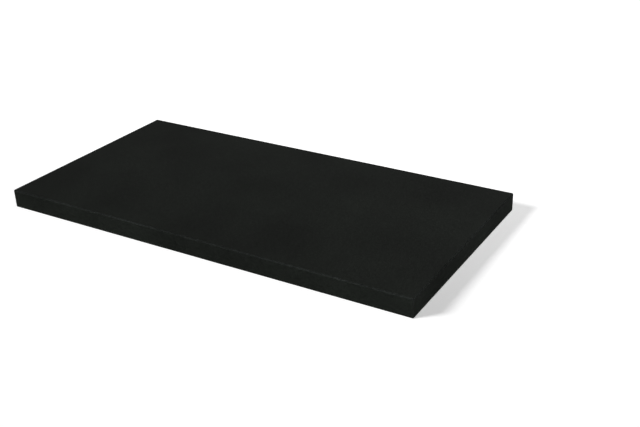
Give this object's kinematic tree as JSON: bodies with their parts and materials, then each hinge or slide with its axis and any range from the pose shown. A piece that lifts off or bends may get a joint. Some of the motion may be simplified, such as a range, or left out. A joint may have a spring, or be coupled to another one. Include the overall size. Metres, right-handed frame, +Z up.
{
  "type": "granite slab",
  "caption": "Flat rectangular slab of dense black granite with eased edges, laid on a bench as the hard, level surface for stamping, tooling, punching and skiving leather.",
  "frame": {"origin": "centre of the base, on the surface that the slab lies on", "axes": "+X along the slab's length, +Y along its width, +Z up out of the working face"},
  "size_m": [0.6096, 0.3048, 0.0254],
  "materials": {
    "black_granite": "satin"
  },
  "bodies": {
    "root": {"stone_slab": "black_granite"}
  },
  "joints": []
}
